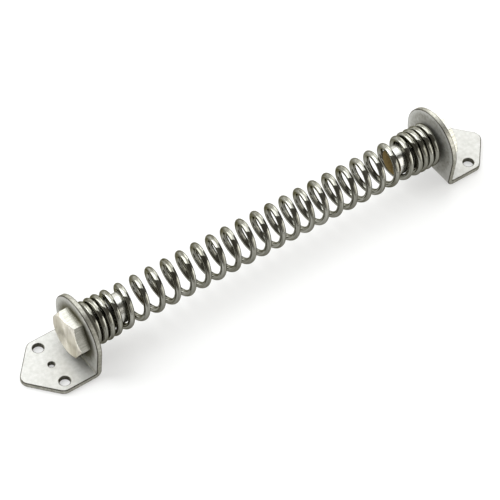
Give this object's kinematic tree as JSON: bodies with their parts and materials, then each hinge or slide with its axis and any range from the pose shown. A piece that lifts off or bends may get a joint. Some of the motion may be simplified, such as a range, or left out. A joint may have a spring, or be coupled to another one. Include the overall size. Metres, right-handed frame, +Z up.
{
  "type": "gate spring closer",
  "caption": "Torsion coil spring held between folded screw plates with spanner hexagons; turning one plate winds the spring, which swings a gate shut.",
  "frame": {"origin": "on the mounting plane of the two base plates, midway between the flanges and under the spring's axis", "axes": "+X along the spring from the post bracket to the gate bracket, +Z up from the base plates to the round flange tops"},
  "size_m": [0.3114, 0.041, 0.0408],
  "materials": {
    "bracket_steel": "satin tumbled stainless sheet",
    "hexagon_steel": "turned and ground stainless bar",
    "spring_steel": "bright drawn stainless spring wire",
    "plug_metal": "bright plated turning with a bare brown end"
  },
  "bodies": {
    "post_bracket": {"post_bracket": "bracket_steel"},
    "post_spindle": {"post_hexagon": "hexagon_steel", "post_spring_plug": "plug_metal", "torsion_spring": "spring_steel"},
    "gate_spindle": {"gate_hexagon": "hexagon_steel", "gate_spring_plug": "plug_metal"},
    "gate_bracket": {"gate_bracket": "bracket_steel"}
  },
  "joints": [
    {"name": "post_adjuster", "type": "hinge", "parent": "post_bracket", "child": "post_spindle", "pos_m": [-0.119, 0, 0.02026], "axis": [1, 0, 0], "continuous": true},
    {"name": "spring_twist", "type": "hinge", "parent": "post_spindle", "child": "gate_spindle", "pos_m": [0, 0, 0.02026], "axis": [-1, 0, 0], "range_deg": [0, 150], "stiffness_Nm_per_rad": 0.87, "deforming": ["torsion_spring"]},
    {"name": "gate_adjuster", "type": "hinge", "parent": "gate_spindle", "child": "gate_bracket", "pos_m": [0.119, 0, 0.02026], "axis": [1, 0, 0], "continuous": true}
  ]
}
